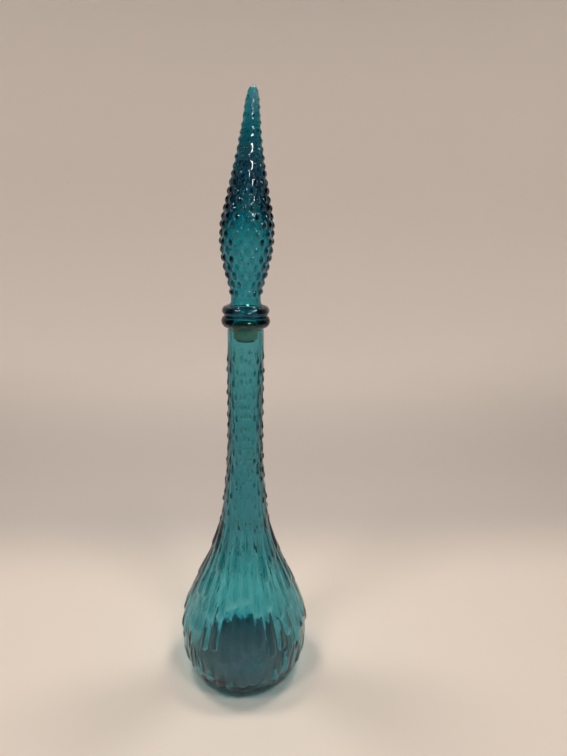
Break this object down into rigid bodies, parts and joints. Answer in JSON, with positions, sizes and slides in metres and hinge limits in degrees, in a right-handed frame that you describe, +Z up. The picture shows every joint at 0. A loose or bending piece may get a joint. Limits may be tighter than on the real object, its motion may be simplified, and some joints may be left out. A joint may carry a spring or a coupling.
{
  "type": "stoppered glass bottle",
  "caption": "Tall teal glass bottle with glass drips down its round bulb, a long slim neck and a tall hobnailed stopper that lifts out with its cork sleeve.",
  "frame": {"origin": "centre of the base, on the surface that the bottle stands on", "axes": "+Z up along the bottle's axis, +X the way that the finial leans"},
  "size_m": [0.1282, 0.1294, 0.5599],
  "materials": {
    "bottle_glass": "clear teal soda glass, mould-blown, fire-polished",
    "stopper_glass": "clear teal soda glass, mould-blown, hobnailed",
    "cork": "natural cork, ground smooth"
  },
  "bodies": {
    "bottle": {"bottle": "bottle_glass"},
    "cork": {"cork_sleeve": "cork"},
    "stopper": {"stopper": "stopper_glass"}
  },
  "joints": [
    {"name": "stopper_lift", "type": "slide", "parent": "bottle", "child": "cork", "axis": [0, 0, 1], "range_m": [0, 0.06]},
    {"name": "stopper_twist", "type": "hinge", "parent": "cork", "child": "stopper", "pos_m": [0, 0, 0.376], "axis": [0, 0, 1], "continuous": true}
  ]
}
